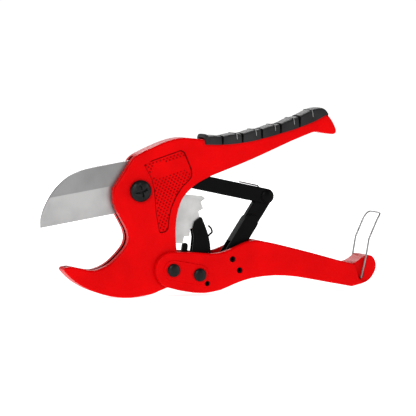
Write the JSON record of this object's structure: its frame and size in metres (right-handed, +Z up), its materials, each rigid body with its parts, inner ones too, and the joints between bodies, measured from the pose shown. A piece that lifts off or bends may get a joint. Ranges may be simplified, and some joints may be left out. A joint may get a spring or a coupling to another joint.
{
  "type": "pvc pipe cutter",
  "caption": "Ratchet pipe cutter: one-piece jaw and upper handle, swinging toothed blade, pumped lower handle with pawls and a spring toggle, and a wire latch that holds the handles shut.",
  "frame": {"origin": "middle of the underside of the bounding box, with the jaw open and the handles apart, which is under the jaw casting", "axes": "+Z up, from the lower handle towards the upper handle; +X along the handles, away from the jaw; Y across the thickness, with the pivot screw head on -Y"},
  "size_m": [0.231, 0.0302, 0.121],
  "materials": {
    "red_paint": "bright red gloss enamel on die-cast metal",
    "black_grip": "satin black moulded grip",
    "blade_steel": "ground satin steel",
    "bronze": "plain sintered bronze",
    "zinc_steel": "plain bright steel",
    "black_oxide": "blackened steel, satin",
    "spring_steel": "drawn spring wire"
  },
  "bodies": {
    "tool": {"body_casting": "red_paint", "handle_grip": "black_grip", "front_pivot_washer": "zinc_steel", "rear_pivot_washer": "zinc_steel", "pivot_screw": "black_oxide", "pivot_nut": "black_oxide", "blade_return_spring": "spring_steel", "handle_rivet": "black_oxide", "upper_link_pin": "zinc_steel", "holding_pawl_pin": "black_oxide"},
    "blade": {"blade": "blade_steel", "blade_bush": "bronze"},
    "lower_handle": {"lower_handle": "red_paint", "pawl_rivet": "black_oxide", "lower_link_pin": "black_oxide", "link_stop_pin": "black_oxide", "pawl_spring_pin": "black_oxide"},
    "drive_pawl": {"drive_pawl": "black_oxide", "drive_pawl_spring": "spring_steel"},
    "holding_pawl": {"holding_pawl": "black_oxide", "holding_pawl_spring": "spring_steel"},
    "upper_link": {"upper_link": "black_oxide", "elbow_pin": "black_oxide", "elbow_spring": "spring_steel"},
    "lower_link": {"lower_link": "black_oxide"},
    "latch_wire": {"latch_wire": "spring_steel"}
  },
  "joints": [
    {"name": "handle_pivot", "type": "hinge", "parent": "tool", "child": "lower_handle", "pos_m": [-0.03009, 0, 0.0176], "axis": [0, -1, 0], "range_deg": [0, 32], "stiffness_Nm_per_rad": 1.2, "springref_deg": -14.32},
    {"name": "blade_pivot", "type": "hinge", "parent": "tool", "child": "blade", "pos_m": [-0.05089, 0, 0.0689], "axis": [0, -1, 0], "range_deg": [0, 48], "stiffness_Nm_per_rad": 0.2, "springref_deg": -22.92},
    {"name": "drive_pawl_pivot", "type": "hinge", "parent": "lower_handle", "child": "drive_pawl", "pos_m": [-0.01229, 0, 0.0142], "axis": [0, -1, 0], "range_deg": [-39, 0]},
    {"name": "holding_pawl_pivot", "type": "hinge", "parent": "tool", "child": "holding_pawl", "pos_m": [-0.02269, 0, 0.0217], "axis": [0, 1, 0], "range_deg": [0, 6], "stiffness_Nm_per_rad": 0.01, "springref_deg": -17.19},
    {"name": "upper_link_pivot", "type": "hinge", "parent": "tool", "child": "upper_link", "pos_m": [-0.02889, 0, 0.0779], "axis": [0, -1, 0], "range_deg": [0, 11]},
    {"name": "elbow", "type": "hinge", "parent": "upper_link", "child": "lower_link", "pos_m": [0.03691, 0, 0.0637], "axis": [0, -1, 0], "range_deg": [-27, 0]},
    {"name": "latch_hinge", "type": "hinge", "parent": "lower_handle", "child": "latch_wire", "pos_m": [0.10041, 0, 0.009], "axis": [0, -1, 0], "range_deg": [-75, 10]}
  ],
  "couplings": [
    {"joint": "drive_pawl_pivot", "follows": "handle_pivot", "ratio": -1.2},
    {"joint": "upper_link_pivot", "follows": "handle_pivot", "ratio": 0.322},
    {"joint": "elbow", "follows": "handle_pivot", "ratio": -0.817}
  ]
}
